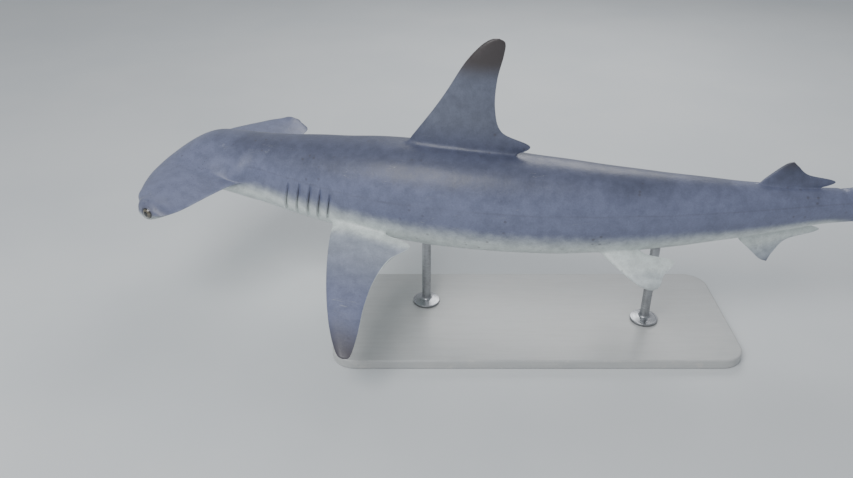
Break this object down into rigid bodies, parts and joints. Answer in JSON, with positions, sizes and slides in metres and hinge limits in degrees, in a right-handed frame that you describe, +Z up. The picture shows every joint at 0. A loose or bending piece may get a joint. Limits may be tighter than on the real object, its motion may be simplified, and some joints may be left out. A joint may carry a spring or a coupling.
{
  "type": "hammerhead shark display model",
  "caption": "Life-size smooth hammerhead shark in a gently curved swimming pose, held on a flat display base by short rods.",
  "frame": {"origin": "centre of the underside of the stand's base, on the floor", "axes": "+Z up; +X along the body towards the tail, with the snout towards -X; the shark's left side faces -Y"},
  "size_m": [2.4814, 0.9041, 0.768],
  "materials": {
    "skin": "slate grey above and off-white below, satin, very finely rough",
    "eye": "wet gloss, dark pupil in a grey iris",
    "stand_base": "painted pale grey, satin",
    "stand_rod": "brushed"
  },
  "bodies": {
    "root": {"head": "skin", "eye_left": "eye", "eye_right": "eye", "gill_region": "skin", "trunk_front": "skin", "trunk_rear": "skin", "tail_stalk": "skin", "dorsal_fin_first": "skin", "dorsal_fin_second": "skin", "anal_fin": "skin", "pectoral_fin_left": "skin", "pelvic_fin_left": "skin", "pectoral_fin_right": "skin", "pelvic_fin_right": "skin", "caudal_lobe_upper": "skin", "caudal_lobe_lower": "skin", "stand_base": "stand_base", "stand_rod_front": "stand_rod", "stand_rod_rear": "stand_rod"}
  },
  "joints": []
}
